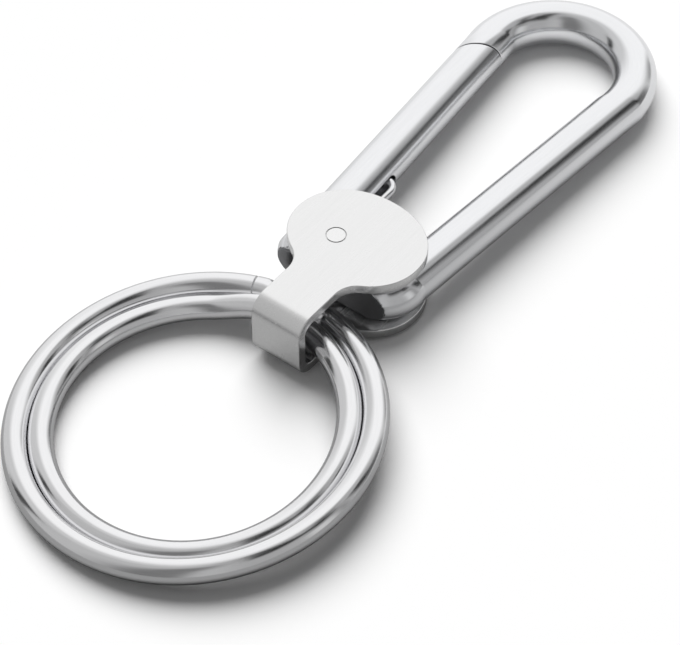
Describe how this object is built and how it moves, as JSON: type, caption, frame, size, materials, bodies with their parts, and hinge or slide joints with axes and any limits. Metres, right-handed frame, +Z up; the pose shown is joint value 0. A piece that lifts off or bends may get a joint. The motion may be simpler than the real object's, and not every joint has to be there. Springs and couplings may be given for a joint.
{
  "type": "belt key clip",
  "caption": "Steel spring snap hook with a folded strap that turns on a rivet and carries a two-turn key ring.",
  "frame": {"origin": "middle of the clip's box, on the surface that it lies on", "axes": "+X from the key ring to the hook's far bend, +Y towards the gate, +Z up"},
  "size_m": [0.0824, 0.035, 0.0076],
  "materials": {
    "hook_steel": "polished stainless steel",
    "gate_steel": "polished stainless steel",
    "spring_wire": "drawn spring wire",
    "strap_sheet": "finely brushed along the strap",
    "rivet_steel": "ground flush and brushed",
    "ring_wire": "polished wire"
  },
  "bodies": {
    "hook": {"hook_body": "hook_steel"},
    "gate": {"gate": "gate_steel", "gate_spring": "spring_wire"},
    "strap": {"strap": "strap_sheet", "rivet": "rivet_steel"},
    "ring": {"key_ring": "ring_wire"}
  },
  "joints": [
    {"name": "gate_hinge", "type": "hinge", "parent": "hook", "child": "gate", "pos_m": [-0.00187, 0.00082, 0.00375], "axis": [-0.0378, 0, -0.9993], "range_deg": [0, 19], "stiffness_Nm_per_rad": 0.1, "springref_deg": -22.92, "deforming": ["gate_spring"]},
    {"name": "strap_swivel", "type": "hinge", "parent": "hook", "child": "strap", "pos_m": [-0.00187, 0.00082, 0.00375], "axis": [0.0378, 0, 0.9993], "range_deg": [-55, 16]},
    {"name": "ring_swing", "type": "hinge", "parent": "strap", "child": "ring", "pos_m": [-0.00837, -0.00091, 0.00389], "axis": [0, 1, 0], "range_deg": [-14, 44]}
  ]
}
